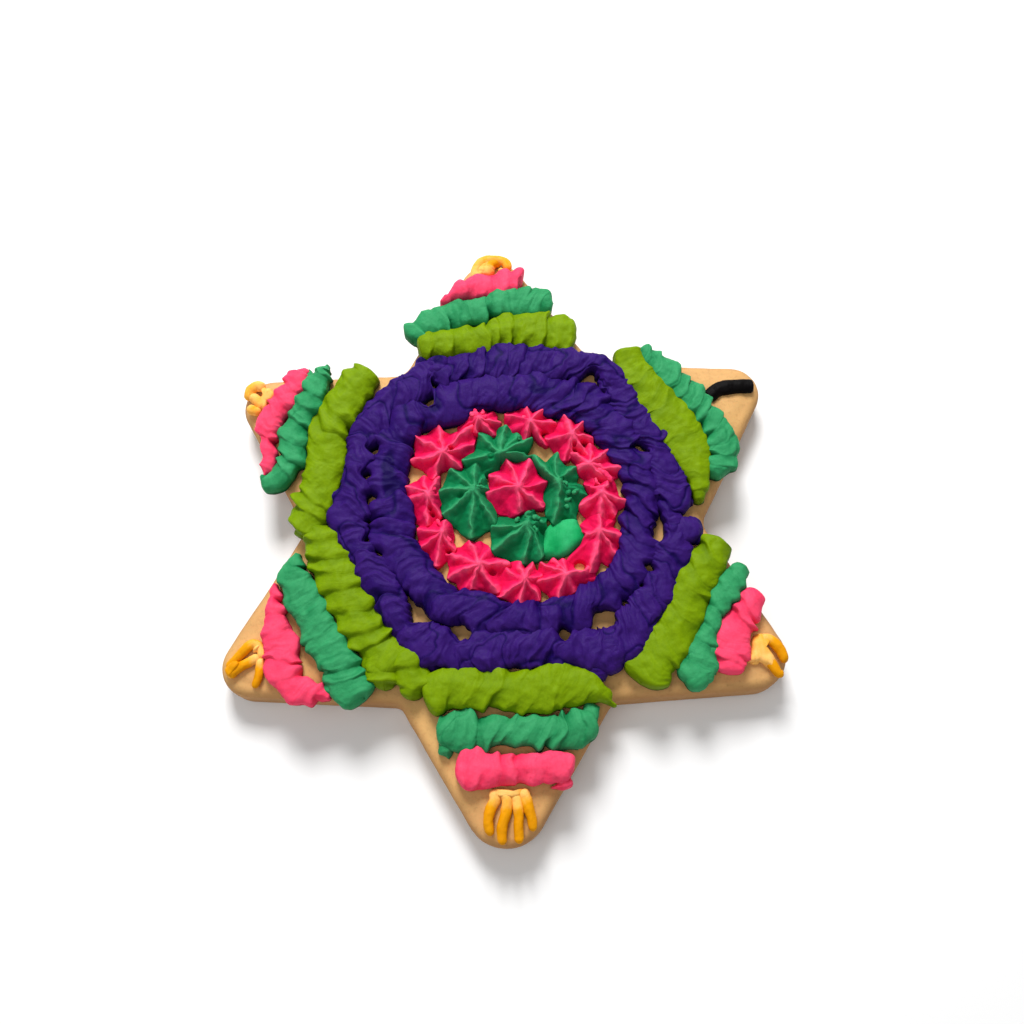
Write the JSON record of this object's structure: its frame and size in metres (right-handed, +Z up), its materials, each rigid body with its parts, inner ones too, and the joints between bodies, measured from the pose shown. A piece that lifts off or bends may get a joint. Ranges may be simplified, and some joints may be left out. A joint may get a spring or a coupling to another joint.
{
  "type": "iced sugar cookie",
  "caption": "Flat six-pointed star sugar cookie with piped buttercream: wavy purple rings round a wreath of rosettes, and ruffled bands and thin strands on the points.",
  "frame": {"origin": "on the underside, below the middle of the star", "axes": "+Z up through the iced face, +Y towards the top point of the star, +X to its right"},
  "size_m": [0.091, 0.1026, 0.0113],
  "materials": {
    "biscuit": "matte baked sugar dough, browner at the rim",
    "purple_icing": "satin buttercream",
    "lime_icing": "satin buttercream",
    "teal_icing": "satin buttercream",
    "pink_icing": "satin buttercream",
    "yellow_icing": "satin buttercream",
    "black_icing": "satin buttercream",
    "green_icing": "satin buttercream",
    "rose_icing": "satin buttercream"
  },
  "bodies": {
    "root": {"cookie": "biscuit", "purple_outer": "purple_icing", "purple_inner": "purple_icing", "lime_top": "lime_icing", "lime_upper_left": "lime_icing", "lime_lower_left": "lime_icing", "lime_bottom": "lime_icing", "lime_lower_right": "lime_icing", "lime_upper_right": "lime_icing", "teal_top": "teal_icing", "teal_upper_left": "teal_icing", "teal_lower_left": "teal_icing", "teal_bottom": "teal_icing", "teal_lower_right": "teal_icing", "teal_upper_right": "teal_icing", "pink_top": "pink_icing", "pink_upper_left": "pink_icing", "pink_lower_left": "pink_icing", "pink_bottom": "pink_icing", "pink_lower_right": "pink_icing", "yellow_top": "yellow_icing", "yellow_upper_left": "yellow_icing", "yellow_lower_left": "yellow_icing", "yellow_bottom": "yellow_icing", "yellow_lower_right": "yellow_icing", "black_line": "black_icing", "green_rosette_1": "green_icing", "green_rosette_2": "green_icing", "green_rosette_3": "green_icing", "green_rosette_4": "green_icing", "green_leaf": "green_icing", "centre_rosette": "rose_icing", "pink_rosette_01": "rose_icing", "pink_rosette_02": "rose_icing", "pink_rosette_03": "rose_icing", "pink_rosette_04": "rose_icing", "pink_rosette_05": "rose_icing", "pink_rosette_06": "rose_icing", "pink_rosette_07": "rose_icing", "pink_rosette_08": "rose_icing", "pink_rosette_09": "rose_icing", "pink_rosette_10": "rose_icing", "pink_rosette_11": "rose_icing", "pink_rosette_12": "rose_icing"}
  },
  "joints": []
}
